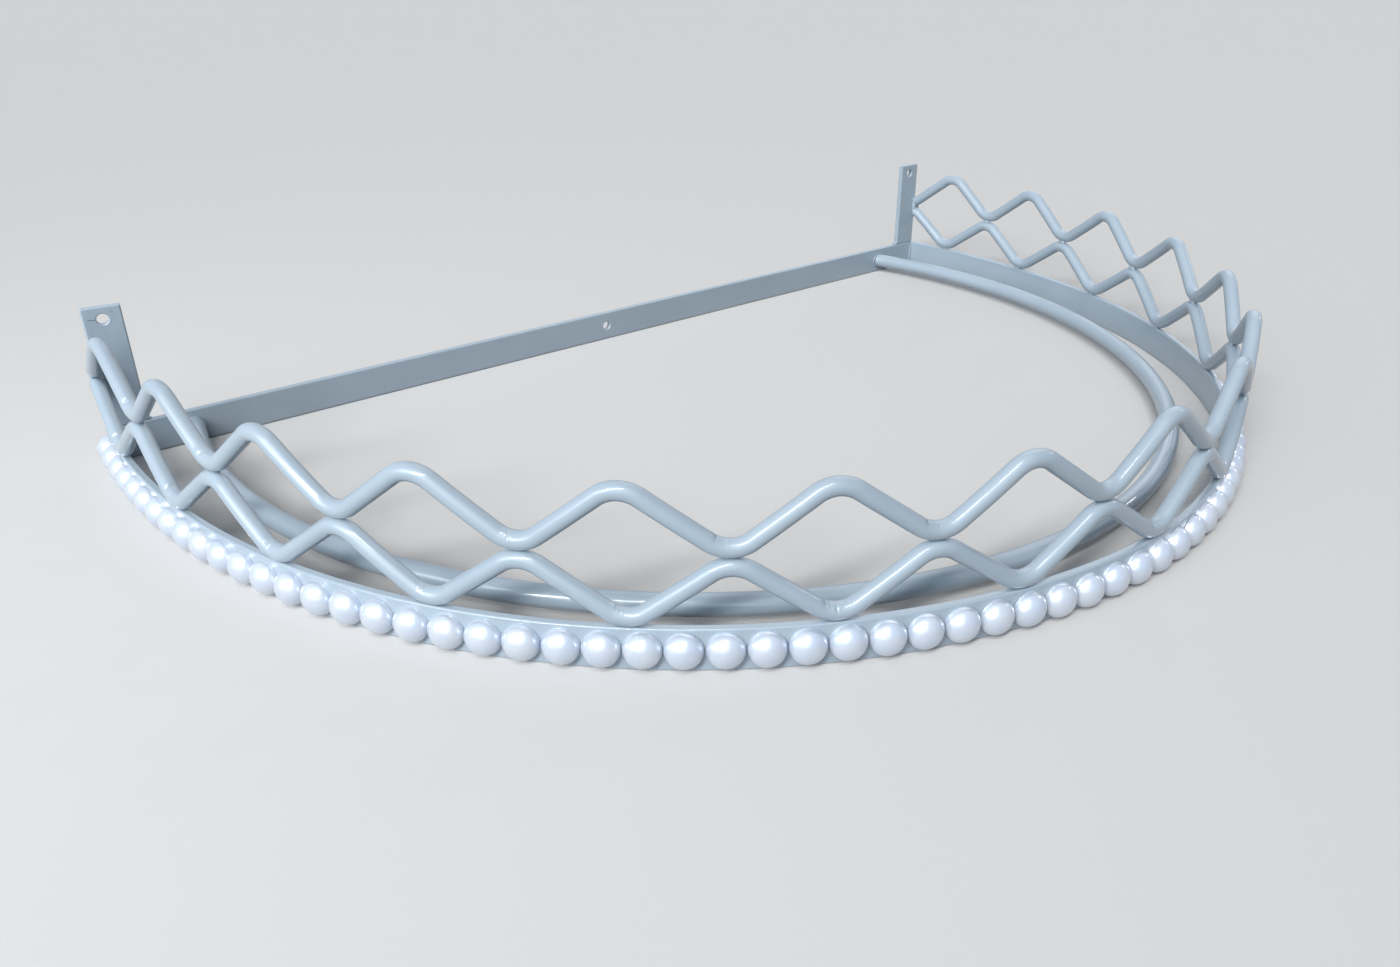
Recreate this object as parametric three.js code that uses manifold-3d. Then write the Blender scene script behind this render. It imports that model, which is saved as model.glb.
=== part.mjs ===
// Wall-mounted bed crown: a welded, enamelled steel crown that carries a bed curtain over a headboard.
// Millimetres. +Z is up, +Y points to the wall, and the crown bulges towards -Y.
// The origin lies on the ground under the middle of the whole piece.
import * as THREE from 'three';
import Module from 'manifold-3d';
import { mergeVertices } from 'three/addons/utils/BufferGeometryUtils.js';

const wasm = await Module();
wasm.setup();

// Flat bar stock of the wall bar, the uprights and the pearl band
const barHeight = 15;
const barThickness = 3;
const wallBarLength = 500;
const screwHoleDiameter = 4.5;

// The uprights stand on the wall bar and reach a little past its ends, over the ends of the band
const uprightWidth = 15;
const uprightLength = 51.5;
const uprightOverhang = 1.2;
const screwHoleToTop = 5.3;

// Plan of the pearl band: depth from the wall to its outer face, and how it leaves the wall
const crownDepth = 330.4;
const bandLean = 19.3;
const bandLegShare = 0.725;
const bandFrontShare = 0.435;

// The two bent rods that make the points of the crown, whose pattern sits a little to the right
const zigzagDiameter = 6;
const zigzagBendRadius = 10.5;
const zigzagCutShort = 1.8;
const zigzagShift = 1.2;
const lowerZigzagHeight = 23.3;
const upperZigzagHeight = 24.1;
const zigzagPointCount = 15;

// Inner rod that the curtain hangs on
const curtainRodDiameter = 8;
const curtainRodInset = 23.4;
const curtainRodFromBarEnd = 32.1;
const curtainRodLean = 41;
const curtainRodLegShare = 0.53;
const curtainRodFrontShare = 0.65;

// Half pearls glued along the band, in strips of a few that share their glue
const pearlDiameter = 12;
const pearlHeight = 5.7;
const pearlGap = 0.3;
const pearlDrop = 0.4;
const pearlEndMargin = 0.2;
const pearlStripCount = 19;
const glueThickness = 0.4;
const glueHeight = 3;

// Clearance at each welded or glued seat, and how far cuts run past what they cut
const seatGap = 0.2;
const cutOverrun = 20;

// Fineness of the curved surfaces
const bandSteps = 76;
const curtainRodSteps = 56;
const curtainRodSides = 10;
const zigzagSides = 8;
const bendSteps = 4;
const legSteps = 2;
const holeSteps = 6;
const pearlSides = 9;
const pearlRings = 3;

const enamel = { color: '#b4c7d4', roughness: 0.32, metalness: 0.1 };
const pearl = { color: '#eef1f6', roughness: 0.22, metalness: 0 };

const zigzagRadius = zigzagDiameter / 2;
const pearlRadius = pearlDiameter / 2;
const weldPlane = -(barThickness + seatGap);

// A plan curve in two mirrored Bezier halves, from the wall on the left round the front to the right.
// It is read by the length run along it, and goes on straight beyond its two ends.
class PlanCurve {
  constructor({ halfWidth, depth, lean, legShare, frontShare }) {
    const half = (side) => [
      new THREE.Vector3(side * halfWidth, 0, 0),
      new THREE.Vector3(side * (halfWidth + lean), -depth * legShare, 0),
      new THREE.Vector3(side * halfWidth * frontShare, -depth, 0),
      new THREE.Vector3(0, -depth, 0),
    ];
    this.path = new THREE.CurvePath();
    this.path.add(new THREE.CubicBezierCurve3(...half(-1)));
    this.path.add(new THREE.CubicBezierCurve3(...half(1).reverse()));
    this.length = this.path.getLength();
  }

  tangent(run) {
    const share = THREE.MathUtils.clamp(run / this.length, 0, 1);
    return this.path.getTangent(share).normalize();
  }

  // The unit vector that points out of the crown
  outward(run) {
    const tangent = this.tangent(run);
    return new THREE.Vector3(tangent.y, -tangent.x, 0);
  }

  point(run, outwards = 0, height = 0) {
    const inside = THREE.MathUtils.clamp(run, 0, this.length);
    const point = this.path.getPoint(inside / this.length);
    point.addScaledVector(this.tangent(run), run - inside);
    point.addScaledVector(this.outward(run), outwards);
    point.z = height;
    return point;
  }

  // The run at which the curve reaches a depth in front of the wall, near its left end
  runAtDepth(depth) {
    return depth / -this.tangent(0).y;
  }
}

// A curve through fixed stations, so that a swept section stands only at the bends that need it
class StationCurve extends THREE.Curve {
  constructor(stations) {
    super();
    this.stations = stations;
  }

  getPointAt(share) {
    return this.stations[Math.round(share * (this.stations.length - 1))].clone();
  }

  getTangentAt(share) {
    const last = this.stations.length - 1;
    const here = Math.round(share * last);
    const tangent = new THREE.Vector3();
    if (here > 0) tangent.add(this.direction(here - 1));
    if (here < last) tangent.add(this.direction(here));
    return tangent.normalize();
  }

  direction(index) {
    return this.stations[index + 1].clone().sub(this.stations[index]).normalize();
  }
}

function sweep(section, stations) {
  const path = new StationCurve(stations);
  return new THREE.ExtrudeGeometry(section, { steps: stations.length - 1, extrudePath: path });
}

function roundSection(radius, sides) {
  const corners = [];
  for (let side = 0; side < sides; side += 1) {
    const angle = (side + 1 / 2) * 2 * Math.PI / sides;
    corners.push(new THREE.Vector2(radius * Math.cos(angle), radius * Math.sin(angle)));
  }
  return new THREE.Shape(corners);
}

function rectangle(width, height) {
  const shape = new THREE.Shape();
  shape.moveTo(-width / 2, -height / 2);
  shape.lineTo(width / 2, -height / 2);
  shape.lineTo(width / 2, height / 2);
  shape.lineTo(-width / 2, height / 2);
  shape.closePath();
  return shape;
}

function toSolid(geometry) {
  const bare = geometry.clone();
  bare.deleteAttribute('normal');
  bare.deleteAttribute('uv');
  const merged = mergeVertices(bare);
  return new wasm.Manifold(new wasm.Mesh({
    numProp: 3,
    vertProperties: new Float32Array(merged.attributes.position.array),
    triVerts: new Uint32Array(merged.index.array),
  }));
}

function toGeometry(solid) {
  const mesh = solid.getMesh();
  const geometry = new THREE.BufferGeometry();
  geometry.setAttribute('position', new THREE.BufferAttribute(mesh.vertProperties, 3));
  geometry.setIndex(new THREE.BufferAttribute(mesh.triVerts, 1));
  geometry.computeVertexNormals();
  return geometry;
}

// Cuts away all that reaches past a plane in front of the wall, as a saw would square the ends
function trimAtPlane(geometry, planeY) {
  const width = wallBarLength + 2 * (bandLean + cutOverrun);
  const height = 2 * (barHeight + uprightLength + cutOverrun);
  const block = new THREE.BoxGeometry(width, cutOverrun, height);
  block.translate(0, planeY + cutOverrun / 2, 0);
  return toGeometry(toSolid(geometry).subtract(toSolid(block)));
}

function sub(name, geometry, look) {
  const mesh = new THREE.Mesh(geometry, new THREE.MeshStandardMaterial(look));
  mesh.name = name;
  return mesh;
}

// Flat bar on edge against the wall, with one screw hole
function flatBar(name, width, height, holeHeight) {
  const face = rectangle(width, height);
  const hole = new THREE.Path();
  hole.absarc(0, holeHeight, screwHoleDiameter / 2, 0, 2 * Math.PI, true);
  face.holes.push(hole);
  const options = { depth: barThickness, bevelEnabled: false, curveSegments: holeSteps };
  const bar = sub(name, new THREE.ExtrudeGeometry(face, options), enamel);
  bar.rotation.x = Math.PI / 2;
  return bar;
}

function wallBar() {
  const bar = flatBar('wall_bar', wallBarLength, barHeight, 0);
  bar.position.z = barHeight / 2;
  return bar;
}

function upright(name, side) {
  const bar = flatBar(name, uprightWidth, uprightLength, uprightLength / 2 - screwHoleToTop);
  bar.position.x = side * (wallBarLength / 2 + uprightOverhang - uprightWidth / 2);
  bar.position.z = barHeight + uprightLength / 2;
  return bar;
}

const bandPlan = new PlanCurve({
  halfWidth: (wallBarLength + barThickness) / 2 + seatGap,
  depth: crownDepth - barThickness / 2,
  lean: bandLean,
  legShare: bandLegShare,
  frontShare: bandFrontShare,
});

const curtainPlan = new PlanCurve({
  halfWidth: wallBarLength / 2 - curtainRodFromBarEnd,
  depth: crownDepth - barThickness / 2 - curtainRodInset,
  lean: curtainRodLean,
  legShare: curtainRodLegShare,
  frontShare: curtainRodFrontShare,
});

// Stations spread evenly over a plan curve, with both ends run on into the wall to be trimmed
function planStations(plan, steps, height) {
  const stations = [];
  for (let step = 0; step <= steps; step += 1) {
    const run = plan.length * step / steps;
    const past = step === 0 ? -barThickness : step === steps ? barThickness : 0;
    stations.push(plan.point(run + past, 0, height));
  }
  return stations;
}

function pearlBand() {
  const section = rectangle(barHeight, barThickness);
  const swept = sweep(section, planStations(bandPlan, bandSteps, barHeight / 2));
  return sub('pearl_band', trimAtPlane(swept, 0), enamel);
}

function curtainRod() {
  const section = roundSection(curtainRodDiameter / 2, curtainRodSides);
  const swept = sweep(section, planStations(curtainPlan, curtainRodSteps, barHeight / 2));
  return sub('curtain_rod', trimAtPlane(swept, weldPlane), enamel);
}

// How far outside its rounded points the straight legs of a zigzag would meet
function cornerOvershoot(angle) {
  return zigzagBendRadius * (1 / Math.cos(angle) - 1);
}

// The slope of the legs, which is a little steeper than the rounded points alone would say
function legAngle(rise, halfPitch) {
  const rough = Math.atan2(rise, halfPitch);
  return Math.atan2(rise + 2 * cornerOvershoot(rough), halfPitch);
}

// A rod bent to and fro between two heights, which are those of its centre line at the rounded points.
// Its path is worked out unrolled, as run along the band and height, and then wrapped round the band.
function zigzagRod(name, low, high, startsHigh) {
  const rise = high - low;
  // Both rods are cut at the weld plane close to the point where they lie one on the other
  const margin = bandPlan.runAtDepth(-weldPlane) - zigzagCutShort;
  const cornerCount = 2 * zigzagPointCount;
  const halfPitch = (bandPlan.length - 2 * margin) / cornerCount;
  const angle = legAngle(rise, halfPitch);
  const unrolled = [];
  for (let index = 0; index <= cornerCount; index += 1) {
    const up = (index % 2 === 0) === startsHigh ? 1 : -1;
    const point = up > 0 ? high : low;
    const run = margin + zigzagShift + index * halfPitch;
    const firstStep = index === 0 ? bendSteps / 2 : 0;
    const lastStep = index === cornerCount ? bendSteps / 2 : bendSteps;
    for (let step = firstStep; step <= lastStep; step += 1) {
      const turn = angle * (2 * step / bendSteps - 1);
      const along = zigzagBendRadius * Math.sin(turn);
      const below = zigzagBendRadius * (1 - Math.cos(turn));
      unrolled.push([run + along, point - up * below]);
    }
  }
  const swept = sweep(roundSection(zigzagRadius, zigzagSides), wrapRoundBand(unrolled));
  return sub(name, trimAtPlane(swept, weldPlane), enamel);
}

// Wraps an unrolled path round the band, with more stations along its straight legs
function wrapRoundBand(unrolled) {
  const stations = [];
  unrolled.forEach(([run, height], index) => {
    stations.push(bandPlan.point(run, 0, height));
    const [nextRun, nextHeight] = unrolled[index + 1] ?? [run, height];
    if (nextRun - run < zigzagBendRadius) return;
    for (let step = 1; step < legSteps; step += 1) {
      const legRun = THREE.MathUtils.lerp(run, nextRun, step / legSteps);
      const legHeight = THREE.MathUtils.lerp(height, nextHeight, step / legSteps);
      stations.push(bandPlan.point(legRun, 0, legHeight));
    }
  });
  return stations;
}

const zigzagMeeting = barHeight + seatGap + lowerZigzagHeight;

function lowerZigzag() {
  const low = barHeight + seatGap + zigzagRadius;
  return zigzagRod('zigzag_lower', low, zigzagMeeting - zigzagRadius, true);
}

function upperZigzag() {
  const low = zigzagMeeting + seatGap + zigzagRadius;
  const high = zigzagMeeting + seatGap + upperZigzagHeight - zigzagRadius;
  return zigzagRod('zigzag_upper', low, high, false);
}

// One half pearl, flat side on the XY plane and dome along +Z
function halfPearl() {
  const profile = [new THREE.Vector2(0, 0)];
  for (let ring = 0; ring < pearlRings; ring += 1) {
    const rise = ring * Math.PI / (2 * pearlRings);
    profile.push(new THREE.Vector2(pearlRadius * Math.cos(rise), pearlHeight * Math.sin(rise)));
  }
  profile.push(new THREE.Vector2(0, pearlHeight));
  const dome = new THREE.LatheGeometry(profile, pearlSides);
  dome.rotateX(Math.PI / 2);
  return dome;
}

const pearlEnd = pearlRadius + pearlEndMargin;
const pearlRun = bandPlan.length - 2 * pearlEnd;
const pearlCount = Math.floor(pearlRun / (pearlDiameter + pearlGap)) + 1;
const pearlPitch = pearlRun / (pearlCount - 1);
const pearlSeat = barThickness / 2 + seatGap;
const pearlCentreHeight = barHeight / 2 - pearlDrop;

// The half pearls are shared out evenly among the strips
function firstPearl(strip) {
  return Math.floor(strip * pearlCount / pearlStripCount);
}

function pearlStrip(number) {
  const glueMiddle = pearlSeat + glueThickness / 2;
  const stations = [];
  let strip = null;
  for (let index = firstPearl(number); index < firstPearl(number + 1); index += 1) {
    const run = pearlEnd + index * pearlPitch;
    const dome = halfPearl();
    const outward = bandPlan.outward(run);
    const turn = new THREE.Quaternion().setFromUnitVectors(new THREE.Vector3(0, 0, 1), outward);
    dome.applyQuaternion(turn);
    dome.translate(...bandPlan.point(run, pearlSeat, pearlCentreHeight).toArray());
    strip = strip ? strip.add(toSolid(dome)) : toSolid(dome);
    stations.push(bandPlan.point(run, glueMiddle, pearlCentreHeight));
  }
  if (stations.length > 1) {
    strip = strip.add(toSolid(sweep(rectangle(glueHeight, glueThickness), stations)));
  }
  return sub(`pearl_strip_${String(number + 1).padStart(2, '0')}`, toGeometry(strip), pearl);
}

function pearlStrips() {
  const strips = new THREE.Group();
  for (let number = 0; number < pearlStripCount; number += 1) {
    strips.add(pearlStrip(number));
  }
  return strips;
}

// The furthest that any pearl stands in front of the wall
function frontReach() {
  let reach = 0;
  for (let index = 0; index < pearlCount; index += 1) {
    const pole = bandPlan.point(pearlEnd + index * pearlPitch, pearlSeat + pearlHeight);
    reach = Math.max(reach, -pole.y);
  }
  return reach;
}

const crown = new THREE.Group();
crown.name = 'bed_crown';
crown.add(wallBar(), upright('upright_left', -1), upright('upright_right', 1));
crown.add(pearlBand(), lowerZigzag(), upperZigzag(), curtainRod(), pearlStrips());
crown.position.y = frontReach() / 2;

export default crown;
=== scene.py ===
import math

import bpy
import numpy as np
from mathutils import Matrix, Vector
from mathutils.geometry import tessellate_polygon


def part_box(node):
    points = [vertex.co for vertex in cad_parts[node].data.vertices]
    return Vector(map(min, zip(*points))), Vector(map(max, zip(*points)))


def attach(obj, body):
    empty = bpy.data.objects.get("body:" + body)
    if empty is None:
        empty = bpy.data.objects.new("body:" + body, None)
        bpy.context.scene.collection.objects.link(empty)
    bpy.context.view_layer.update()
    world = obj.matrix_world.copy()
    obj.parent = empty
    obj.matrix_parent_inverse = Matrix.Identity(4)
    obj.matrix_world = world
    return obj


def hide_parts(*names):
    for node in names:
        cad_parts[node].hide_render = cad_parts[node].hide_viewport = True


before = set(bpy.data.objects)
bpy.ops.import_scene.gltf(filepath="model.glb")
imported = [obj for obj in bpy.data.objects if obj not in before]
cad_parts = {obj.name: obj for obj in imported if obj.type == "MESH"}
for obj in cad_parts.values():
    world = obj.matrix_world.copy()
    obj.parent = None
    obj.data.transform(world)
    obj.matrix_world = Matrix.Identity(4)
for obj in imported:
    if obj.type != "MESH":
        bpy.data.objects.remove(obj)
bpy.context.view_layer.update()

# Units and the wall plane, which is the back face of the wall bar
MM = 0.001
WALL_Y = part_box("wall_bar")[1].y

# Flat bar stock of the wall bar, the uprights and the pearl band
BAR_HEIGHT = 15 * MM
BAR_THICKNESS = 3 * MM
BAR_EDGE = 0.75 * MM
WALL_BAR_LENGTH = 500 * MM
FRONT_Y = WALL_Y - BAR_THICKNESS
UPRIGHT_WIDTH = 15 * MM
UPRIGHT_LENGTH = 51.5 * MM
UPRIGHT_OVERHANG = 1.2 * MM
UPRIGHT_X = WALL_BAR_LENGTH / 2 + UPRIGHT_OVERHANG - UPRIGHT_WIDTH / 2
HOLE_RADIUS = 2.25 * MM
HOLE_EDGE = 0.5 * MM
HOLE_TO_TOP = 5.3 * MM
HOLE_SIDES = 64
SEAT_GAP = 0.2 * MM

# The pearl band, bent on edge
CROWN_DEPTH = 330.4 * MM
BAND_LEAN = 19.3 * MM
BAND_LEG_SHARE = 0.725
BAND_FRONT_SHARE = 0.435
BAND_STATIONS = 420
BAND_END_EDGE = 0.4 * MM

# The curtain rod inside the band
ROD_RADIUS = 4 * MM
ROD_INSET = 23.4 * MM
ROD_FROM_BAR_END = 32.1 * MM
ROD_LEAN = 41 * MM
ROD_LEG_SHARE = 0.53
ROD_FRONT_SHARE = 0.65
ROD_STATIONS = 360
ROD_SIDES = 40
ROD_END_EDGE = 0.3 * MM

# The two bent rods
ZIGZAG_RADIUS = 3 * MM
ZIGZAG_BEND = 10.5 * MM
ZIGZAG_CUT_SHORT = 1.8 * MM
ZIGZAG_SHIFT = 1.2 * MM
ZIGZAG_POINTS = 15
LOWER_ZIGZAG_HEIGHT = 23.3 * MM
UPPER_ZIGZAG_HEIGHT = 24.1 * MM
ZIGZAG_MEETING = BAR_HEIGHT + SEAT_GAP + LOWER_ZIGZAG_HEIGHT
ZIGZAG_LOW = BAR_HEIGHT + SEAT_GAP + ZIGZAG_RADIUS
ZIGZAG_HIGH = ZIGZAG_MEETING + SEAT_GAP + UPPER_ZIGZAG_HEIGHT - ZIGZAG_RADIUS
ZIGZAG_BEND_STEPS = 40
ZIGZAG_LEG_STEPS = 12
ZIGZAG_SIDES = 48
ZIGZAG_END_EDGE = 0.25 * MM
ZIGZAG_END_CLEAR = 0.2 * MM

# Half pearls, each a dome on a thin straight foot
PEARL_RADIUS = 6.15 * MM
PEARL_HEIGHT = 5.3 * MM
PEARL_FOOT_HEIGHT = 0.3 * MM
PEARL_COUNT = 76
PEARL_DROP = 0.3 * MM
PEARL_END = 6.2 * MM
STRIP_COUNT = 19

UP = np.array([0.0, 0.0, 1.0])
TOWARDS_ROOM = np.array([0.0, -1.0, 0.0])


def smooth_step(low, high, value):
    """0 up to low, 1 from high on, and a soft rise between them."""
    share = np.clip((value - low) / (high - low), 0, 1)
    return share * share * (3 - 2 * share)


class PlanCurve:
    """Two mirrored Bezier halves from the wall on the left round the front to the right, read by run.

    A run is a length along the curve from its left end. Places come out in the scene's metres.
    """

    def __init__(self, half_width, depth, lean, leg_share, front_share, samples=3000):
        share = np.linspace(0, 1, samples)[:, None]
        rest = 1 - share
        wall_end = np.array([half_width, 0.0])
        leg_handle = np.array([half_width + lean, -depth * leg_share])
        front_handle = np.array([half_width * front_share, -depth])
        front = np.array([0.0, -depth])
        right = (rest ** 3 * wall_end + 3 * share * rest ** 2 * leg_handle
                 + 3 * share ** 2 * rest * front_handle + share ** 3 * front)
        left = right * [-1, 1]
        self.points = np.vstack([left, right[::-1][1:]])
        steps = np.hypot(*np.diff(self.points, axis=0).T)
        self.runs = np.concatenate([[0], np.cumsum(steps)])
        self.length = self.runs[-1]
        slopes = np.gradient(self.points, self.runs, axis=0)
        self.tangents = slopes / np.linalg.norm(slopes, axis=1)[:, None]

    def _read(self, table, run):
        """The rows of a table of flat vectors at a run or an array of runs."""
        return np.stack([np.interp(run, self.runs, table[:, 0]), np.interp(run, self.runs, table[:, 1])], -1)

    def outward(self, run):
        """The unit vector that points square out of the curve."""
        tangent = self._read(self.tangents, run)
        flat = np.stack([tangent[..., 1], -tangent[..., 0], np.zeros_like(tangent[..., 0])], -1)
        return flat / np.linalg.norm(flat, axis=-1, keepdims=True)

    def along(self, run):
        """The unit vector that points along the curve."""
        tangent = self._read(self.tangents, run)
        flat = np.stack([tangent[..., 0], tangent[..., 1], np.zeros_like(tangent[..., 0])], -1)
        return flat / np.linalg.norm(flat, axis=-1, keepdims=True)

    def point(self, run, outwards=0.0, height=0.0):
        """A place on or beside the curve, at a height. Past its ends the curve goes on straight."""
        run = np.asarray(run, float)
        inside = np.clip(run, 0, self.length)
        flat = self._read(self.points, inside)
        place = np.concatenate([flat, np.zeros(flat.shape[:-1] + (1,))], -1)
        place = place + self.along(run) * (run - inside)[..., None]
        place = place + self.outward(run) * np.asarray(outwards)[..., None]
        place[..., 2] = height
        place[..., 1] += WALL_Y
        return place

    def run_at_depth(self, depth):
        """The run at which the curve is a short way in front of the wall."""
        return depth / -self.along(0.0)[1]


class Skin:
    """Collects rings of points with their normals, and turns them into one smooth mesh."""

    def __init__(self):
        self.points = []
        self.normals = []
        self.faces = []

    def ring(self, points, normals):
        first = len(self.points)
        self.points.extend(np.asarray(points).tolist())
        self.normals.extend(np.asarray(normals).tolist())
        return list(range(first, len(self.points)))

    def bridge(self, ring_a, ring_b):
        count = len(ring_a)
        for i in range(count):
            j = (i + 1) % count
            self.faces.append((ring_a[i], ring_a[j], ring_b[j], ring_b[i]))

    def bridge_all(self, rings):
        for ring_a, ring_b in zip(rings, rings[1:]):
            self.bridge(ring_a, ring_b)

    def cap(self, ring, turned=False):
        self.faces.append(tuple(reversed(ring)) if turned else tuple(ring))

    def build(self, name):
        mesh = bpy.data.meshes.new(name)
        mesh.from_pydata(self.points, [], self.faces)
        mesh.validate()
        mesh.shade_smooth()
        mesh.normals_split_custom_set_from_vertices(self.normals)
        piece = bpy.data.objects.new(name, mesh)
        bpy.context.scene.collection.objects.link(piece)
        return piece


def turns(count):
    """Angles evenly round a circle."""
    return np.arange(count) * 2 * np.pi / count


def round_section(radius, sides):
    """Points and normals of a round section, in its own plane."""
    angle = turns(sides)
    normal = np.stack([np.cos(angle), np.sin(angle)], -1)
    return normal * radius, normal


def bar_section(width, height, edge, edge_steps=6):
    """Points and normals of a rectangle with rounded corners, in its own plane."""
    points, normals = [], []
    for quarter in range(4):
        centre_x = (width / 2 - edge) * (1 if quarter in (0, 3) else -1)
        centre_y = (height / 2 - edge) * (1 if quarter in (0, 1) else -1)
        for step in range(edge_steps + 1):
            angle = (quarter + step / edge_steps) * np.pi / 2
            normal = (math.cos(angle), math.sin(angle))
            points.append((centre_x + edge * normal[0], centre_y + edge * normal[1]))
            normals.append(normal)
    return np.array(points), np.array(normals)


def sweep(name, centres, across, section, end_edge, relief=None, end_steps=4):
    """Sweeps a section along stations. across is the section's first axis at each station.

    relief, if given, is how far each section point stands out at each station.
    """
    points, normals = section
    centres = np.asarray(centres)
    slopes = np.gradient(centres, axis=0)
    along = slopes / np.linalg.norm(slopes, axis=1)[:, None]
    second = np.cross(along, across)
    second /= np.linalg.norm(second, axis=1)[:, None]
    first = np.cross(second, along)
    if relief is None:
        relief = np.zeros((len(centres), len(points)))
    travel = np.concatenate([[0], np.cumsum(np.linalg.norm(np.diff(centres, axis=0), axis=1))])
    climb_along = np.gradient(relief, travel, axis=0)
    spacing = np.linalg.norm(np.roll(points, -1, 0) - np.roll(points, 1, 0), axis=1)
    climb_round = (np.roll(relief, -1, 1) - np.roll(relief, 1, 1)) / spacing
    turned = np.stack([-normals[:, 1], normals[:, 0]], -1)
    skin = Skin()

    def place(index, inset=0.0, slide=0.0, lean=0.0):
        u, v, w = first[index], second[index], along[index]
        flat = points + normals * (relief[index][:, None] - inset)
        facing = normals - turned * climb_round[index][:, None]
        ring_points = centres[index] + w * slide + flat[:, :1] * u + flat[:, 1:] * v
        ring_normals = facing[:, :1] * u + facing[:, 1:] * v - w * climb_along[index][:, None]
        ring_normals /= np.linalg.norm(ring_normals, axis=1)[:, None]
        return skin.ring(ring_points, ring_normals * math.cos(lean) + w * math.sin(lean))

    last = len(centres) - 1
    slides = np.zeros(last + 1)
    slides[0] = end_edge
    slides[last] = -end_edge
    leans = [step / end_steps * math.pi / 2 for step in range(1, end_steps + 1)]
    rings = []
    for lean in reversed(leans):
        rings.append(place(0, end_edge * (1 - math.cos(lean)), end_edge * (1 - math.sin(lean)), -lean))
    for index, slide in enumerate(slides):
        rings.append(place(index, slide=slide))
    for lean in leans:
        rings.append(place(last, end_edge * (1 - math.cos(lean)), -end_edge * (1 - math.sin(lean)), lean))
    skin.bridge_all(rings)
    skin.cap(rings[0], turned=True)
    skin.cap(rings[-1])
    return skin.build(name)


band_plan = PlanCurve(
    (WALL_BAR_LENGTH + BAR_THICKNESS) / 2 + SEAT_GAP, CROWN_DEPTH - BAR_THICKNESS / 2,
    BAND_LEAN, BAND_LEG_SHARE, BAND_FRONT_SHARE)
rod_plan = PlanCurve(
    WALL_BAR_LENGTH / 2 - ROD_FROM_BAR_END, CROWN_DEPTH - BAR_THICKNESS / 2 - ROD_INSET,
    ROD_LEAN, ROD_LEG_SHARE, ROD_FRONT_SHARE)


def pearl_band():
    runs = np.linspace(0, band_plan.length, BAND_STATIONS)
    section = bar_section(BAR_THICKNESS, BAR_HEIGHT, BAR_EDGE)
    centres = band_plan.point(runs, 0.0, BAR_HEIGHT / 2)
    return sweep("band_enamelled", centres, band_plan.outward(runs), section, BAND_END_EDGE)


def curtain_rod():
    start = rod_plan.run_at_depth(BAR_THICKNESS)
    runs = np.linspace(start, rod_plan.length - start, ROD_STATIONS)
    section = round_section(ROD_RADIUS, ROD_SIDES)
    centres = rod_plan.point(runs, 0.0, BAR_HEIGHT / 2)
    return sweep("curtain_rod_enamelled", centres, rod_plan.outward(runs), section, ROD_END_EDGE)


def corner_overshoot(angle):
    """How far a rounded corner stays short of the sharp one, for legs at an angle."""
    return ZIGZAG_BEND * (1 / math.cos(angle) - 1)


def leg_angle(rise, half_pitch):
    """How steep the straight legs are, so that the rounded corners still reach both heights."""
    rough = math.atan2(rise, half_pitch)
    return math.atan2(rise + 2 * corner_overshoot(rough), half_pitch)


def zigzag_corners():
    """The runs of all corners of the pattern and half its pitch. Odd corners are the lower rod's valleys,
    and even ones its peaks."""
    margin = band_plan.run_at_depth(BAR_THICKNESS + SEAT_GAP) - ZIGZAG_CUT_SHORT
    corners = 2 * ZIGZAG_POINTS
    half_pitch = (band_plan.length - 2 * margin) / corners
    return [margin + ZIGZAG_SHIFT + index * half_pitch for index in range(corners + 1)], half_pitch


# The rods are bent by hand. Their corners slant a little along the band, and on parts of both sides
# they lean in: by a depth at the top, between four shares of the band's length
ZIGZAG_SLANT = 1.0 * MM
ZIGZAG_LEANS = ((2.6 * MM, (0.00, 0.08, 0.13, 0.23)), (0.7 * MM, (0.50, 0.63, 0.71, 0.80)))
STEADY_END_SHARE = 0.03


def zigzag_place(run, height, outwards=0.0):
    """A point on or beside a bent rod's middle line."""
    share = run / band_plan.length
    lean = 0.0
    for depth, (start, full, fading, gone) in ZIGZAG_LEANS:
        lean = lean + depth * smooth_step(start, full, share) * (1 - smooth_step(fading, gone, share))
    rise = np.clip((height - ZIGZAG_LOW) / (ZIGZAG_HIGH - ZIGZAG_LOW), 0, 1)
    free = smooth_step(0, STEADY_END_SHARE, share) * (1 - smooth_step(1 - STEADY_END_SHARE, 1, share))
    slant = ZIGZAG_SLANT * free * (ZIGZAG_MEETING - height) / (ZIGZAG_HIGH - ZIGZAG_MEETING)
    return band_plan.point(run + slant, outwards - lean * np.sin(rise * np.pi / 2), height)


# The bending pin leaves small ripples on the inside of each valley, left of its middle. The angle goes
# round the rod's section
MARK_DEPTH = 0.38 * MM
MARK_DEPTH_SHARES = (-0.6, 1.0)
MARK_LENGTH = 0.28 * MM
MARK_PLACES = (-5.4 * MM, -3.9 * MM, -2.2 * MM, -0.9 * MM)
MARK_ANGLE = math.radians(298)
MARK_ANGLE_SHAKE = 0.4
MARK_SPREAD = math.radians(26)


def bend_marks(runs, corner_runs, angles, random):
    """How far the rod's surface stands out at each station and angle, because of the bending marks."""
    relief = np.zeros((len(runs), len(angles)))
    for corner_run in corner_runs:
        for place in MARK_PLACES:
            depth = MARK_DEPTH * random.uniform(*MARK_DEPTH_SHARES)
            at = corner_run + place + random.uniform(-1, 1) * MARK_LENGTH
            turn = MARK_ANGLE + random.uniform(-MARK_ANGLE_SHAKE, MARK_ANGLE_SHAKE)
            near = np.exp(-((runs - at) / MARK_LENGTH) ** 2)
            round_it = np.exp(-(np.angle(np.exp(1j * (angles - turn))) / MARK_SPREAD) ** 2)
            relief -= depth * np.outer(near, round_it)
    return relief


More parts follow.
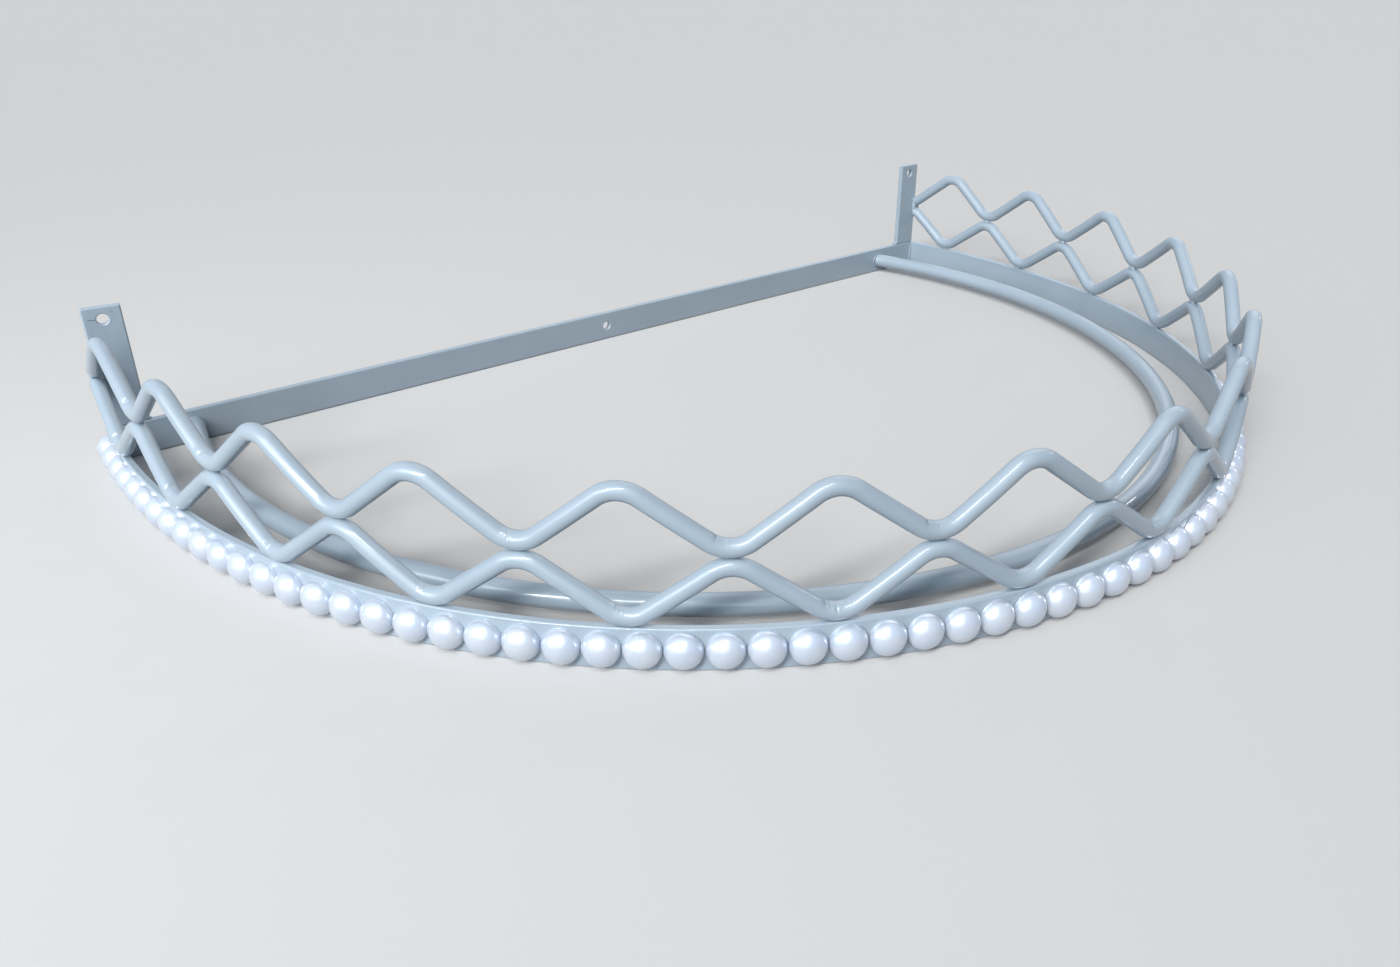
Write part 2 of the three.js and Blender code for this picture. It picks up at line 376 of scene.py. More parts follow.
def zigzag_rod(name, low, high, starts_high, random):
    """A rod bent to and fro between two heights and wrapped round the band."""
    corner_runs, half_pitch = zigzag_corners()
    angle = leg_angle(high - low, half_pitch)
    bent_runs, bent_heights, valleys = [], [], []
    for index, corner_run in enumerate(corner_runs):
        up = 1 if (index % 2 == 0) == starts_high else -1
        tip = high if up > 0 else low
        if up < 0:
            valleys.append(corner_run)
        for step in range(ZIGZAG_BEND_STEPS + 1):
            turn = angle * (2 * step / ZIGZAG_BEND_STEPS - 1)
            bent_runs.append(corner_run + ZIGZAG_BEND * math.sin(turn))
            bent_heights.append(tip - up * ZIGZAG_BEND * (1 - math.cos(turn)))
    # More stations along each straight leg between two bends
    runs, heights = [], []
    for i in range(len(bent_runs) - 1):
        count = ZIGZAG_LEG_STEPS if (i + 1) % (ZIGZAG_BEND_STEPS + 1) == 0 else 1
        share = np.arange(count) / count
        runs.extend(bent_runs[i] + (bent_runs[i + 1] - bent_runs[i]) * share)
        heights.extend(bent_heights[i] + (bent_heights[i + 1] - bent_heights[i]) * share)
    runs, heights = np.array(runs), np.array(heights)
    # The ends butt on the front face of the bar
    first_run = band_plan.run_at_depth(BAR_THICKNESS)
    last_run = band_plan.length - first_run
    inner = (runs > first_run + ZIGZAG_END_CLEAR) & (runs < last_run - ZIGZAG_END_CLEAR)
    end_heights = np.interp([first_run, last_run], runs, heights)
    runs = np.concatenate([[first_run], runs[inner], [last_run]])
    heights = np.concatenate([[end_heights[0]], heights[inner], [end_heights[1]]])
    centres = zigzag_place(runs, heights)
    centres[0, 1] = centres[-1, 1] = FRONT_Y
    relief = bend_marks(runs, valleys, turns(ZIGZAG_SIDES), random)
    section = round_section(ZIGZAG_RADIUS, ZIGZAG_SIDES)
    return sweep(name, centres, band_plan.outward(runs), section, ZIGZAG_END_EDGE, relief)


def lower_zigzag(random):
    return zigzag_rod("lower_points_enamelled", ZIGZAG_LOW, ZIGZAG_MEETING - ZIGZAG_RADIUS, True, random)


def upper_zigzag(random):
    low = ZIGZAG_MEETING + SEAT_GAP + ZIGZAG_RADIUS
    return zigzag_rod("upper_points_enamelled", low, ZIGZAG_HIGH, False, random)


def plate(name, width, height, hole_height, centre, twist=0.0, edge_steps=6):
    """A flat bar on edge with rounded edges and one screw hole, facing along -Y.

    twist turns its top about its upright middle line, and its foot stays square.
    """
    skin = Skin()
    half = BAR_THICKNESS / 2
    hole_angles = turns(HOLE_SIDES)
    hole_normals = np.stack([np.cos(hole_angles), np.sin(hole_angles)], -1)

    def ring(flat, flat_normals, depth, lean, sign):
        points = np.stack([flat[:, 0], np.full(len(flat), depth), flat[:, 1]], -1) + centre
        normals = np.stack([flat_normals[:, 0] * math.cos(lean), np.full(len(flat), math.sin(lean)),
                            flat_normals[:, 1] * math.cos(lean)], -1) * [sign, 1, sign]
        return skin.ring(points, normals)

    outer, inner = [], []
    for side in (-1, 1):
        order = range(edge_steps, -1, -1) if side < 0 else range(edge_steps + 1)
        for step in order:
            lean = step / edge_steps * math.pi / 2
            flat, normals = bar_section(width, height, BAR_EDGE, edge_steps)
            flat = flat - normals * (BAR_EDGE * (1 - math.cos(lean)))
            depth = side * (half - BAR_EDGE * (1 - math.sin(lean)))
            outer.append(ring(flat, normals, depth, side * lean, 1))
            grown = hole_normals * (HOLE_RADIUS + HOLE_EDGE * (1 - math.cos(lean))) + [0, hole_height]
            depth = side * (half - HOLE_EDGE * (1 - math.sin(lean)))
            inner.append(ring(grown, hole_normals, depth, side * lean, -1))
    for ring_a, ring_b in zip(outer, outer[1:]):
        skin.bridge(ring_b, ring_a)
    skin.bridge_all(inner)
    fill_between(skin, outer[0], inner[0], -1)
    fill_between(skin, outer[-1], inner[-1], 1)
    if twist:
        twist_up(skin, centre, height, twist)
    return skin.build(name)


def fill_between(skin, outer, inner, towards):
    """Closes the flat face between an outline and a hole with triangles facing along Y towards a side."""
    loops = [[Vector((skin.points[i][0], skin.points[i][2], 0)) for i in loop] for loop in (outer, inner)]
    indices = outer + inner
    for triangle in tessellate_polygon(loops):
        face = [indices[i] for i in triangle]
        a, b, c = [Vector(skin.points[i]) for i in face]
        facing = (b - a).cross(c - a).y
        skin.faces.append(tuple(face if facing * towards > 0 else reversed(face)))


def twist_up(skin, centre, height, twist):
    """Turns a skin's points and normals about an upright line, more the higher they are."""
    points, normals = np.array(skin.points), np.array(skin.normals)
    share = (points[:, 2] - centre[2]) / height + 0.5
    turn = twist * smooth_step(0, 1, share)
    cos, sin = np.cos(turn), np.sin(turn)
    for rows, pivot in ((points, centre), (normals, (0, 0))):
        x, y = rows[:, 0] - pivot[0], rows[:, 1] - pivot[1]
        rows[:, 0], rows[:, 1] = pivot[0] + cos * x - sin * y, pivot[1] + sin * x + cos * y
    skin.points, skin.normals = points.tolist(), normals.tolist()


def wall_bar():
    centre = [0, WALL_Y - BAR_THICKNESS / 2, BAR_HEIGHT / 2]
    return plate("wall_bar_enamelled", WALL_BAR_LENGTH, BAR_HEIGHT, 0.0, centre)


# The left upright is twisted a little, so that its top faces more to the left
LEFT_TWIST = math.radians(8)


def upright(name, side, twist=0.0):
    centre = [side * UPRIGHT_X, WALL_Y - BAR_THICKNESS / 2, BAR_HEIGHT + UPRIGHT_LENGTH / 2]
    return plate(name, UPRIGHT_WIDTH, UPRIGHT_LENGTH, UPRIGHT_LENGTH / 2 - HOLE_TO_TOP, centre, twist)


# Weld beads, each as length, width and height, and how far each lies from where its pieces meet.
# The beads along the band lie on its inner side
VALLEY_WELD = (4.0 * MM, 1.3 * MM, 1.8 * MM)
VALLEY_WELD_OUT = -1.05 * MM
VALLEY_WELD_RISE = 0.3 * MM
VALLEY_WELD_SHAKE = 0.8 * MM
TIP_WELD = (4.6 * MM, 2.8 * MM, 2.2 * MM)
TIP_WELD_OUT = -1.2 * MM
TIP_WELD_SHAKE = 0.5 * MM
CORNER_WELD = (12.5 * MM, 1.5 * MM, 1.5 * MM)
CORNER_WELD_IN = 0.1 * MM
FOOT_WELD = (2.8 * MM, 2.4 * MM, 2.2 * MM)
FOOT_WELD_IN = 0.3 * MM
FOOT_WELD_RISE = 0.5 * MM
JOIN_WELD = (10.5 * MM, 3.2 * MM, 3.4 * MM)
JOIN_WELD_IN = 1.2 * MM
JOIN_WELD_SINK = 0.1 * MM
OUTER_JOIN_WELD = (6.0 * MM, 2.2 * MM, 2.2 * MM)
OUTER_JOIN_WELD_OUT = 1.6 * MM
OUTER_JOIN_WELD_FORWARD = 0.3 * MM

# How a bead's surface varies: the pitch, depth and bow of its ripples, how lumpy, oval and blunt it is,
# and how much of each end is cut flat
WELD_RIPPLE = 1.3 * MM
WELD_RIPPLE_SHARE = 0.06
WELD_RIPPLE_BOW = 0.6
WELD_LUMP_SHARES = (0.85, 1.15)
WELD_OVAL_SHARE = 0.10
WELD_BLUNTNESS = 0.75
WELD_POLE_SHARE = 0.04


def bead(skin, centre, along, out, length, width, height, random, steps=22, sides=18):
    """A small closed weld bead: a long soft blob with the ripples of the weld pool."""
    along, out = np.asarray(along, float), np.asarray(out, float)
    along /= np.linalg.norm(along)
    out = out - along * np.dot(out, along)
    out /= np.linalg.norm(out)
    side = np.cross(along, out)
    ripples, phase = length / WELD_RIPPLE, random.uniform(0, 6)
    lump = random.uniform(*WELD_LUMP_SHARES, 3)
    travel = np.linspace(WELD_POLE_SHARE, 1 - WELD_POLE_SHARE, steps)[:, None] * np.pi
    angle = turns(sides)[None, :]
    swell = 1 + WELD_RIPPLE_SHARE * np.sin(travel * 2 * ripples + phase + WELD_RIPPLE_BOW * np.cos(angle))
    swell = swell * (1 + WELD_OVAL_SHARE * np.sin(2 * angle + phase) * np.sin(travel))
    radius = np.sin(travel) ** WELD_BLUNTNESS * swell
    grid = (np.asarray(centre) - np.cos(travel)[..., None] * along * length / 2 * lump[0]
            + (radius * np.cos(angle))[..., None] * out * height / 2 * lump[1]
            + (radius * np.sin(angle))[..., None] * side * width / 2 * lump[2])
    down = np.gradient(grid, axis=0)
    round_it = np.roll(grid, -1, 1) - np.roll(grid, 1, 1)
    normals = np.cross(round_it, down)
    normals /= np.linalg.norm(normals, axis=-1)[..., None]
    outwards = np.sum(normals * (grid - centre), axis=-1).mean()
    if outwards < 0:
        normals = -normals
    rings = [skin.ring(grid[i], normals[i]) for i in range(steps)]
    skin.bridge_all(rings)
    skin.cap(rings[0], turned=True)
    skin.cap(rings[-1])


# A collar of weld metal is uneven: waves round it, each as a count and a share of its thickness
COLLAR_THICKNESS = 0.35 * MM
COLLAR_WAVES = ((1, 0.35), (3, 0.22), (9, 0.12))


def collar(skin, centre, radius, random, sides=72, section_steps=12):
    """A thin uneven ring of weld metal round a rod that butts on the bar's front face."""
    angles = turns(sides)
    phases = random.uniform(0, 6, len(COLLAR_WAVES))
    thickness = np.ones(sides)
    for (count, share), phase in zip(COLLAR_WAVES, phases):
        thickness += share * np.sin(count * angles + phase)
    thickness *= COLLAR_THICKNESS
    turn = turns(section_steps)[:, None]
    rings = []
    for angle, thick in zip(angles, thickness):
        spoke = np.array([math.cos(angle), 0.0, math.sin(angle)])
        normals = np.cos(turn) * spoke + np.sin(turn) * TOWARDS_ROOM
        rings.append(skin.ring(np.asarray(centre) + spoke * radius + normals * thick, normals))
    for ring_a, ring_b in zip(rings, rings[1:] + rings[:1]):
        skin.bridge(ring_b, ring_a)


def band_welds(random):
    """The lower rod's valleys, welded to the band's inner top edge."""
    skin = Skin()
    corner_runs, half_pitch = zigzag_corners()
    for corner_run in corner_runs[1:-1:2]:
        run = corner_run + random.uniform(-1, 1) * VALLEY_WELD_SHAKE
        centre = zigzag_place(run, BAR_HEIGHT + VALLEY_WELD_RISE, VALLEY_WELD_OUT)
        bead(skin, centre, band_plan.along(run), -band_plan.outward(run), *VALLEY_WELD, random)
    return skin.build("welds_on_band")


def tip_welds(random):
    """The lower rod's peaks, welded to the upper rod's valleys."""
    skin = Skin()
    corner_runs, half_pitch = zigzag_corners()
    for corner_run in corner_runs[2:-1:2]:
        run = corner_run + random.uniform(-1, 1) * TIP_WELD_SHAKE
        centre = zigzag_place(run, ZIGZAG_MEETING + SEAT_GAP / 2, TIP_WELD_OUT)
        bead(skin, centre, band_plan.along(run), -band_plan.outward(run), *TIP_WELD, random)
    return skin.build("welds_between_points")


def end_welds(random):
    """The welds at the wall: corner seams, the uprights' feet and the ends of the three rods."""
    skin = Skin()
    meeting = ZIGZAG_MEETING + SEAT_GAP / 2
    band_end = band_plan.point(band_plan.length)[0]
    rod_end = rod_plan.point(rod_plan.length - rod_plan.run_at_depth(BAR_THICKNESS), 0.0, BAR_HEIGHT / 2)
    for side in (-1, 1):
        towards = np.array([-side, -1.0, 0.0])
        corner = (side * (WALL_BAR_LENGTH / 2 - CORNER_WELD_IN), FRONT_Y - CORNER_WELD_IN, BAR_HEIGHT / 2)
        bead(skin, corner, UP, towards, *CORNER_WELD, random)
        foot = (side * (UPRIGHT_X - UPRIGHT_WIDTH / 2 - FOOT_WELD_IN), WALL_Y - BAR_THICKNESS / 2,
                BAR_HEIGHT + FOOT_WELD_RISE)
        bead(skin, foot, (0, 1, 0), (-side, 0, 1), *FOOT_WELD, random)
        inner = (side * (band_end - JOIN_WELD_IN), FRONT_Y + JOIN_WELD_SINK, meeting)
        bead(skin, inner, UP, towards, *JOIN_WELD, random)
        outer = (side * (band_end + OUTER_JOIN_WELD_OUT), FRONT_Y - OUTER_JOIN_WELD_FORWARD, meeting)
        bead(skin, outer, UP, (side, 0, 0), *OUTER_JOIN_WELD, random)
        collar(skin, rod_end * [side, 1, 1], ROD_RADIUS, random)
    return skin.build("welds_at_wall")


# The half pearls are glued by hand: a slow drift along the band, a stretch that sits higher, a small
# shake of each and small tilts. The drift and the high stretch come and go at shares of the band's length
PEARL_DRIFT = 2.0 * MM
PEARL_DRIFT_SHARES = (0.12, 0.44, 0.60)
PEARL_RISE = 0.6 * MM
PEARL_RISE_SHARES = (0.26, 0.31, 0.41, 0.46)
PEARL_SHAKE = 0.08 * MM
PEARL_TILT = math.radians(1.3)


def pearl_profile(steps=32):
    """Radius, rise and normal of a half pearl from its back up its foot and dome towards the pole."""
    rows = [(PEARL_RADIUS, 0.0, 1.0, 0.0)]
    dome = PEARL_HEIGHT - PEARL_FOOT_HEIGHT
    for step in range(steps):
        turn = step / steps * math.pi / 2
        across, upwards = math.cos(turn) / PEARL_RADIUS, math.sin(turn) / dome
        size = math.hypot(across, upwards)
        rise = PEARL_FOOT_HEIGHT + dome * math.sin(turn)
        rows.append((PEARL_RADIUS * math.cos(turn), rise, across / size, upwards / size))
    return rows


def add_pearl(skin, seat, pole, sides=56):
    """Adds one half pearl with its back at seat and its pole along the unit vector pole."""
    side = np.cross(UP, pole)
    side /= np.linalg.norm(side)
    other = np.cross(pole, side)
    angle = turns(sides)[:, None]
    spokes = np.cos(angle) * side + np.sin(angle) * other
    rings = []
    for radius, rise, flat_normal, rise_normal in pearl_profile():
        normals = spokes * flat_normal + pole * rise_normal
        rings.append(skin.ring(seat + spokes * radius + pole * rise, normals))
    skin.bridge_all(rings)
    skin.cap(rings[0], turned=True)
    tip = skin.ring([seat + pole * PEARL_HEIGHT], [pole])[0]
    last = rings[-1]
    for i in range(sides):
        skin.faces.append((last[i], last[(i + 1) % sides], tip))


def pearl_strips(random):
    """The half pearls, four to an object, as they are glued on."""
    pitch = (band_plan.length - 2 * PEARL_END) / (PEARL_COUNT - 1)
    rising, falling, gone = PEARL_DRIFT_SHARES
    climb, top, sink, low = PEARL_RISE_SHARES
    strips = []
    for number in range(STRIP_COUNT):
        skin = Skin()
        first = number * PEARL_COUNT // STRIP_COUNT
        for index in range(first, (number + 1) * PEARL_COUNT // STRIP_COUNT):
            run = PEARL_END + index * pitch
            share = run / band_plan.length
            drift = PEARL_DRIFT * smooth_step(0, rising, share) * (1 - smooth_step(falling, gone, share))
            rise = PEARL_RISE * smooth_step(climb, top, share) * (1 - smooth_step(sink, low, share))
            shake = random.uniform(-1, 1, 4)
            at = run - drift + shake[0] * PEARL_SHAKE
            height = BAR_HEIGHT / 2 - PEARL_DROP + rise + shake[1] * PEARL_SHAKE
            tilt = PEARL_TILT * (shake[2] * band_plan.along(at) + shake[3] * UP)
            pole = band_plan.outward(at) + tilt
            add_pearl(skin, band_plan.point(at, BAR_THICKNESS / 2, height), pole / np.linalg.norm(pole))
        strips.append(skin.build(f"half_pearls_{number + 1:02d}"))
    return strips


def new_material(name):
    """A new material with its node tree and its main shader."""
    material = bpy.data.materials.new(name)
    material.use_nodes = True
    tree = material.node_tree
    return material, tree, tree.nodes["Principled BSDF"]


def set_inputs(made, values):
    for key, value in values.items():
        made.inputs[key].default_value = value


def node(tree, kind, values=None, **settings):
    """A new shader node with its settings, and with values for some of its inputs."""
    made = tree.nodes.new(kind)
    for key, value in settings.items():
        setattr(made, key, value)
    set_inputs(made, values or {})
    return made


def object_place(tree):
    return node(tree, "ShaderNodeTexCoord").outputs["Object"]


def noise(tree, where, scale, detail):
    made = node(tree, "ShaderNodeTexNoise", {"Scale": scale, "Detail": detail})
    tree.links.new(where, made.inputs["Vector"])
    return made.outputs["Fac"]


def remap(tree, value, **ends):
    """A value mapped between ends, which are from_min, from_max, to_min and to_max."""
    made = node(tree, "ShaderNodeMapRange", {key.replace("_", " ").title(): end for key, end in ends.items()})
    tree.links.new(value, made.inputs["Value"])
    return made.outputs["Result"]


def ramp(tree, value, *stops):
    """Two colours, each with the value at which it is reached."""
    made = node(tree, "ShaderNodeValToRGB")
    for element, (position, colour) in zip(made.color_ramp.elements, stops):
        element.position = position
        element.color = colour
    tree.links.new(value, made.inputs["Fac"])
    return made.outputs["Color"]


def overlay(tree, strength, colour, tone):
    """A tone laid over a colour by a strength."""
    made = node(tree, "ShaderNodeMix", {"B": tone}, data_type="RGBA")
    tree.links.new(strength, made.inputs["Factor"])
    tree.links.new(colour, made.inputs["A"])
    return made.outputs["Result"]


def bumps(tree, shader, height, strength, distance):
    made = node(tree, "ShaderNodeBump", {"Strength": strength, "Distance": distance})
    tree.links.new(height, made.inputs["Height"])
    tree.links.new(made.outputs["Normal"], shader.inputs["Normal"])


# Small rubbed marks on the left upright, beside its screw hole, each as place and half size.
# They reach deep enough for the twisted upright
HOLE_Z = BAR_HEIGHT + UPRIGHT_LENGTH - HOLE_TO_TOP
RUB_TONE = (0.13, 0.15, 0.17, 1)
RUB_REACH = 2.0 * MM
RUBS = (
    ((-UPRIGHT_X - 4.9 * MM, FRONT_Y, HOLE_Z + 0.3 * MM), (1.6 * MM, RUB_REACH, 0.28 * MM)),
    ((-UPRIGHT_X - 3.4 * MM, FRONT_Y, HOLE_Z + 0.1 * MM), (0.6 * MM, RUB_REACH, 0.35 * MM)),
    ((-UPRIGHT_X + 3.6 * MM, FRONT_Y, HOLE_Z + 2.6 * MM), (0.45 * MM, RUB_REACH, 0.25 * MM)))


def rub(tree, where, colour, place, size):
    """Lays one small soft-edged mark over a colour, at a place and half size in metres."""
    offset = node(tree, "ShaderNodeVectorMath", {1: place}, operation="SUBTRACT")
    scaled = node(tree, "ShaderNodeVectorMath", {1: size}, operation="DIVIDE")
    reach = node(tree, "ShaderNodeVectorMath", operation="LENGTH")
    tree.links.new(where, offset.inputs[0])
    tree.links.new(offset.outputs[0], scaled.inputs[0])
    tree.links.new(scaled.outputs[0], reach.inputs[0])
    strength = remap(tree, reach.outputs["Value"], from_min=1, from_max=0.5)
    return overlay(tree, strength, colour, RUB_TONE)


ENAMEL_DEEP = (0.335, 0.405, 0.462, 1)
ENAMEL_PALE = (0.365, 0.437, 0.494, 1)
ENAMEL_SPECK = (0.40, 0.47, 0.53, 1)


def enamel(name, rubs=()):
    """Pale blue-grey gloss enamel, dipped: faint orange peel, a slightly uneven tone and a few specks."""
    material, tree, shader = new_material(name)
    set_inputs(shader, {"Coat Weight": 0.6, "Coat Roughness": 0.05})
    where = object_place(tree)
    cloud = noise(tree, where, scale=38, detail=5)
    specks = remap(tree, noise(tree, where, scale=1500, detail=2), from_min=0.73, from_max=0.80)
    colour = ramp(tree, cloud, (0.32, ENAMEL_DEEP), (0.68, ENAMEL_PALE))
    colour = overlay(tree, specks, colour, ENAMEL_SPECK)
    for place, size in rubs:
        colour = rub(tree, where, colour, place, size)
    tree.links.new(colour, shader.inputs["Base Color"])
    tree.links.new(remap(tree, cloud, to_min=0.26, to_max=0.42), shader.inputs["Roughness"])
    bumps(tree, shader, noise(tree, where, scale=330, detail=2), strength=0.10, distance=0.2 * MM)
    return material


PEARL_COOL = (0.60, 0.66, 0.76, 1)
PEARL_WARM = (0.66, 0.70, 0.76, 1)


def pearl():
    """White pearl lacquer over plastic: a broad nacre lustre under a clear coat."""
    material, tree, shader = new_material("pearl_lacquer")
    set_inputs(shader, {"Metallic": 0.38, "Roughness": 0.30, "Coat Weight": 1.0, "Coat Roughness": 0.04,
                        "Coat IOR": 1.5})
    where = object_place(tree)
    cloud = noise(tree, where, scale=140, detail=3)
    tree.links.new(ramp(tree, cloud, (0.35, PEARL_COOL), (0.65, PEARL_WARM)), shader.inputs["Base Color"])
    bumps(tree, shader, noise(tree, where, scale=500, detail=2), strength=0.03, distance=0.1 * MM)
    return material


def dress(piece, material, slot, *nodes):
    """Gives a piece its material, makes it stand for its CAD nodes and puts it on the only body."""
    piece.data.materials.append(material)
    if nodes:
        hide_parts(*nodes)
    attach(piece, "root")
    return piece


# Camera, worked out from the photograph: angles, metres, and focal length and width in its pixels
CAMERA_AZIMUTH = math.radians(-38.53)
CAMERA_ELEVATION = math.radians(26.54)
CAMERA_ROLL = math.radians(-0.35)
CAMERA_DISTANCE = 0.48567
CAMERA_TARGET = Vector((-0.0452, WALL_Y - 0.14178, -0.02244))
CAMERA_NEAREST = 0.01
CAMERA_FURTHEST = 50
FOCAL_PIXELS = 1071.5
PHOTO_WIDTH = 1400
SENSOR_WIDTH = 36


def direction(azimuth, elevation):
    """The unit vector towards an azimuth and elevation. Azimuth 0 is straight in front of the wall."""
    return Vector((math.sin(azimuth) * math.cos(elevation),
                   -math.cos(azimuth) * math.cos(elevation), math.sin(elevation)))


def camera():
    data = bpy.data.cameras.new("camera")
    data.sensor_width = SENSOR_WIDTH
    data.lens = FOCAL_PIXELS / PHOTO_WIDTH * SENSOR_WIDTH
    data.clip_start = CAMERA_NEAREST
    data.clip_end = CAMERA_FURTHEST
    made = bpy.data.objects.new("camera", data)
    bpy.context.scene.collection.objects.link(made)
    back = direction(CAMERA_AZIMUTH, CAMERA_ELEVATION)
    right = (-back).cross(Vector((0, 0, 1))).normalized()
    up = right.cross(-back)
    turned_right = math.cos(CAMERA_ROLL) * right + math.sin(CAMERA_ROLL) * up
    turned_up = -math.sin(CAMERA_ROLL) * right + math.cos(CAMERA_ROLL) * up
    made.matrix_world = Matrix.Translation(CAMERA_TARGET + back * CAMERA_DISTANCE) @ Matrix(
        (turned_right, turned_up, back)).transposed().to_4x4()
    bpy.context.scene.camera = made


FLOOR_HALF = 15.0
FLOOR_DROP = 0.05 * MM
FLOOR_COLOUR = (0.68, 0.66, 0.637, 1)
FLOOR_BOUNCE = (0.22, 0.22, 0.23, 1)
SURROUND_COLOUR = (0.70, 0.79, 0.94, 1)
SURROUND_LIGHT = (0.10, 0.125, 0.16, 1)


def two_colours(tree, for_light, for_eye):
    """One colour for camera, glossy and transmission rays, another for the rays that carry soft light."""
    path = node(tree, "ShaderNodeLightPath")
    either = node(tree, "ShaderNodeMath", operation="MAXIMUM")
    any_of_three = node(tree, "ShaderNodeMath", operation="MAXIMUM")
    mix = node(tree, "ShaderNodeMix", {"A": for_light, "B": for_eye}, data_type="RGBA")
    tree.links.new(path.outputs["Is Camera Ray"], either.inputs[0])
    tree.links.new(path.outputs["Is Glossy Ray"], either.inputs[1])
    tree.links.new(either.outputs[0], any_of_three.inputs[0])
    tree.links.new(path.outputs["Is Transmission Ray"], any_of_three.inputs[1])
    tree.links.new(any_of_three.outputs[0], mix.inputs["Factor"])
    return mix.outputs["Result"]


def floor():
    """A plain pale floor just under the crown."""
    mesh = bpy.data.meshes.new("floor")
    corners = [(x * FLOOR_HALF, y * FLOOR_HALF, 0) for x, y in ((-1, -1), (1, -1), (1, 1), (-1, 1))]
    mesh.from_pydata(corners, [], [(0, 1, 2, 3)])
    made = bpy.data.objects.new("floor", mesh)
    bpy.context.scene.collection.objects.link(made)
    made.location.z = -FLOOR_DROP
    material, tree, shader = new_material("floor")
    set_inputs(shader, {"Roughness": 0.7, "Specular IOR Level": 0})
    tree.links.new(two_colours(tree, FLOOR_BOUNCE, FLOOR_COLOUR), shader.inputs["Base Color"])
    mesh.materials.append(material)


def surround():
    """A pale surround as far as it is seen or mirrored, and a dim one for the light that it gives."""
    world = bpy.data.worlds.new("surround")
    bpy.context.scene.world = world
    world.use_nodes = True
    tree = world.node_tree
    background = tree.nodes["Background"]
    tree.links.new(two_colours(tree, SURROUND_LIGHT, SURROUND_COLOUR), background.inputs["Color"])


def place_lamp(name, data, place, towards):
    """Puts a lamp at a place. It shines back along towards, the direction from the crown to the lamp."""
    made = bpy.data.objects.new(name, data)
    bpy.context.scene.collection.objects.link(made)
    made.location = place
    made.rotation_mode = "QUATERNION"
    made.rotation_quaternion = towards.to_track_quat("Z", "Y")
    return made


def lamp(name, azimuth, elevation, spread, level, colour=(1, 1, 1)):
    """A far soft lamp, with its angles in degrees. At level 1 a surface that faces the lamp renders as
    bright as its colour is written."""
    towards = direction(math.radians(azimuth), math.radians(elevation))
    data = bpy.data.lights.new(name, "SUN")
    data.angle = math.radians(spread)
    data.energy = level * math.pi
    data.color = colour
    place_lamp(name, data, towards, towards)


NEAR_LAMP_SPREAD = math.radians(100)


def near_lamp(name, place, aim, width, level, colour, mirrored):
    """A soft round lamp close to the crown, with a grid that keeps it off the floor below. At level 1
    a surface at the aim that faces the lamp renders as bright as its colour is written. mirrored says
    whether gloss shows it."""
    towards = Vector(place) - Vector(aim)
    half_spread = NEAR_LAMP_SPREAD / 2
    grid_gain = math.tan(half_spread) / (math.tan(half_spread) - half_spread)
    data = bpy.data.lights.new(name, "AREA")
    data.shape = "DISK"
    data.size = width
    data.spread = NEAR_LAMP_SPREAD
    data.energy = level * math.pi ** 2 * towards.length_squared / grid_gain
    data.color = colour
    made = place_lamp(name, data, place, towards)
    made.visible_camera = False
    made.visible_glossy = mirrored


# A row of lamps from the left to the front, as a long window or a line of tubes would give.
# Places are in steps of the row's distance in front of the crown
ROW_FROM = -3.6
ROW_TO = -0.7
ROW_HEIGHT_SHARE = 2.0
ROW_COUNT = 7
ROW_SPREAD = 8
ROW_LEVEL = 0.80
DAYLIGHT = (0.87, 0.94, 1.0)
SIDE_DAYLIGHT = (0.74, 0.88, 1.0)
NEAR_DAYLIGHT = (0.88, 0.95, 1.0)


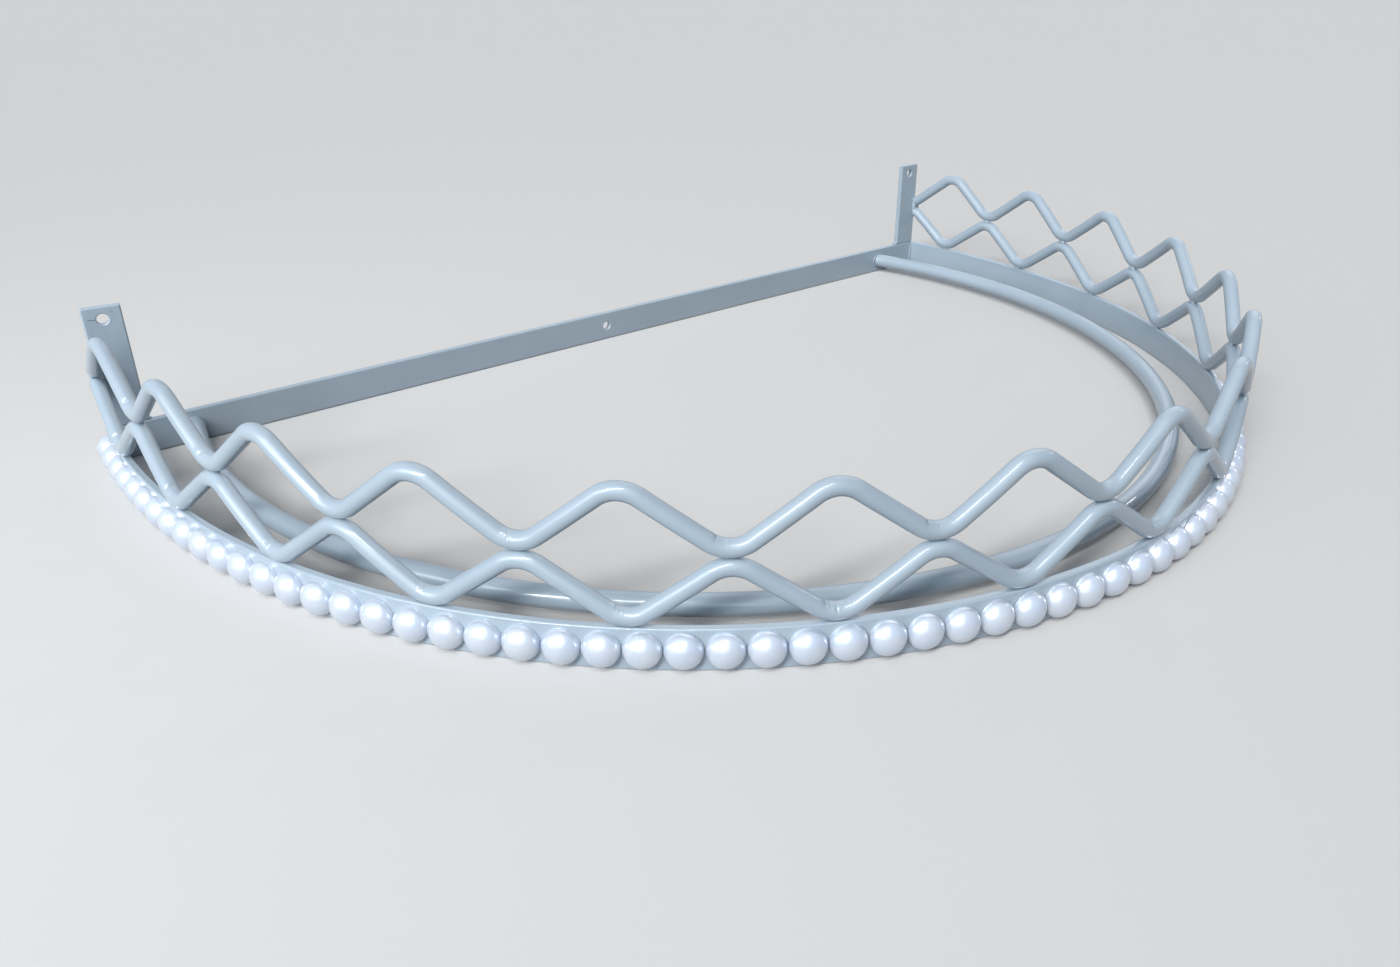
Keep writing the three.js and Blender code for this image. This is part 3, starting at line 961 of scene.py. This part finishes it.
def stage():
    """Plain pale floor, an even pale surround and soft lamps."""
    floor()
    surround()
    lamp("window", azimuth=-54, elevation=32, spread=60, level=0.29, colour=DAYLIGHT)
    lamp("window_side", azimuth=-88, elevation=24, spread=30, level=0.17, colour=SIDE_DAYLIGHT)
    left_end = (-UPRIGHT_X, WALL_Y, BAR_HEIGHT)
    near_lamp("window_near", place=(-0.70, -0.35, 0.35), aim=left_end, width=0.45, level=0.22,
              colour=NEAR_DAYLIGHT, mirrored=False)
    near_lamp("window_left", place=(-0.80, 0.02, 0.24), aim=left_end, width=0.40, level=0.36,
              colour=NEAR_DAYLIGHT, mirrored=True)
    for number in range(ROW_COUNT):
        across = ROW_FROM + (ROW_TO - ROW_FROM) * number / (ROW_COUNT - 1)
        azimuth = math.degrees(math.atan(across))
        elevation = math.degrees(math.atan2(ROW_HEIGHT_SHARE, math.hypot(across, 1)))
        lamp(f"row_{number}", azimuth, elevation, ROW_SPREAD, ROW_LEVEL / ROW_COUNT)
    lamp("lamp_right", azimuth=77, elevation=25, spread=5, level=0.03)
    lamp("lamp_behind", azimuth=118, elevation=42, spread=50, level=0.16)


steel = enamel("enamel")
rubbed_steel = enamel("enamel_rubbed", RUBS)
nacre = pearl()
chance = np.random.default_rng(7)
dress(wall_bar(), steel, "enamel", "wall_bar")
dress(upright("left_upright_enamelled", -1, -LEFT_TWIST), rubbed_steel, "enamel", "upright_left")
dress(upright("right_upright_enamelled", 1), steel, "enamel", "upright_right")
dress(pearl_band(), steel, "enamel", "pearl_band")
dress(curtain_rod(), steel, "enamel", "curtain_rod")
for number, strip in enumerate(pearl_strips(chance), 1):
    dress(strip, nacre, "pearl", f"pearl_strip_{number:02d}")
dress(lower_zigzag(chance), steel, "enamel", "zigzag_lower")
dress(upper_zigzag(chance), steel, "enamel", "zigzag_upper")
for welds in (band_welds(chance), tip_welds(chance), end_welds(chance)):
    dress(welds, steel, "enamel")
camera()
stage()

bpy.context.scene.view_settings.view_transform = "Standard"
